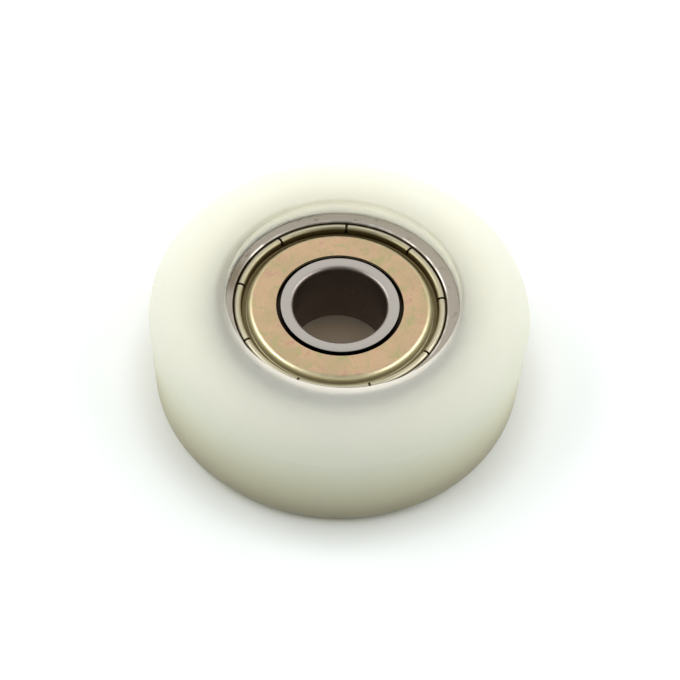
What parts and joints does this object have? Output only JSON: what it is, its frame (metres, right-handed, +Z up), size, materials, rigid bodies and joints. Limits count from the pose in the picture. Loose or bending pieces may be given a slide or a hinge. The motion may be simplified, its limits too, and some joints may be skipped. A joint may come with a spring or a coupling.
{
  "type": "sliding door roller",
  "caption": "Moulded nylon roller for a sliding door, a rounded and slightly tapered tyre on a shielded ball bearing with a plain bore for its axle pin.",
  "frame": {"origin": "on the axle's axis, at the tyre's lower face, which rests on the surface", "axes": "+Z up along the axle's axis, towards the side with the shallow recess; +X to the right as seen from the front"},
  "size_m": [0.0288, 0.0288, 0.0101],
  "materials": {
    "tyre_nylon": "satin, slightly translucent",
    "ring_steel": "ground",
    "shield_zinc": "pressed and yellow passivated",
    "ball_steel": "polished",
    "cage_steel": "pressed"
  },
  "bodies": {
    "axle_ring": {"inner_ring": "ring_steel"},
    "roller": {"tyre": "tyre_nylon", "outer_ring": "ring_steel", "shield_upper": "shield_zinc", "shield_lower": "shield_zinc"},
    "cage": {"cage_upper": "cage_steel", "cage_lower": "cage_steel", "cage_rivets": "cage_steel"},
    "rolling_ball_1": {"ball_1": "ball_steel"},
    "rolling_ball_2": {"ball_2": "ball_steel"},
    "rolling_ball_3": {"ball_3": "ball_steel"},
    "rolling_ball_4": {"ball_4": "ball_steel"},
    "rolling_ball_5": {"ball_5": "ball_steel"},
    "rolling_ball_6": {"ball_6": "ball_steel"},
    "rolling_ball_7": {"ball_7": "ball_steel"}
  },
  "joints": [
    {"name": "roller_spin", "type": "hinge", "parent": "axle_ring", "child": "roller", "pos_m": [0, 0, 0.0059], "axis": [0, 0, 1], "continuous": true},
    {"name": "cage_spin", "type": "hinge", "parent": "axle_ring", "child": "cage", "pos_m": [0, 0, 0.0059], "axis": [0, 0, 1], "continuous": true},
    {"name": "ball_1_spin", "type": "hinge", "parent": "cage", "child": "rolling_ball_1", "pos_m": [0.00636, 0.00135, 0.0059], "axis": [0, 0, 1], "continuous": true},
    {"name": "ball_2_spin", "type": "hinge", "parent": "cage", "child": "rolling_ball_2", "pos_m": [0.00291, 0.00581, 0.0059], "axis": [0, 0, 1], "continuous": true},
    {"name": "ball_3_spin", "type": "hinge", "parent": "cage", "child": "rolling_ball_3", "pos_m": [-0.00273, 0.0059, 0.0059], "axis": [0, 0, 1], "continuous": true},
    {"name": "ball_4_spin", "type": "hinge", "parent": "cage", "child": "rolling_ball_4", "pos_m": [-0.00631, 0.00154, 0.0059], "axis": [0, 0, 1], "continuous": true},
    {"name": "ball_5_spin", "type": "hinge", "parent": "cage", "child": "rolling_ball_5", "pos_m": [-0.00514, -0.00398, 0.0059], "axis": [0, 0, 1], "continuous": true},
    {"name": "ball_6_spin", "type": "hinge", "parent": "cage", "child": "rolling_ball_6", "pos_m": [-0.0001, -0.0065, 0.0059], "axis": [0, 0, 1], "continuous": true},
    {"name": "ball_7_spin", "type": "hinge", "parent": "cage", "child": "rolling_ball_7", "pos_m": [0.00502, -0.00413, 0.0059], "axis": [0, 0, 1], "continuous": true}
  ],
  "couplings": [
    {"joint": "cage_spin", "follows": "roller_spin", "ratio": 0.62211},
    {"joint": "ball_1_spin", "follows": "roller_spin", "ratio": 1.9251},
    {"joint": "ball_2_spin", "follows": "roller_spin", "ratio": 1.9251},
    {"joint": "ball_3_spin", "follows": "roller_spin", "ratio": 1.9251},
    {"joint": "ball_4_spin", "follows": "roller_spin", "ratio": 1.9251},
    {"joint": "ball_5_spin", "follows": "roller_spin", "ratio": 1.9251},
    {"joint": "ball_6_spin", "follows": "roller_spin", "ratio": 1.9251},
    {"joint": "ball_7_spin", "follows": "roller_spin", "ratio": 1.9251}
  ]
}
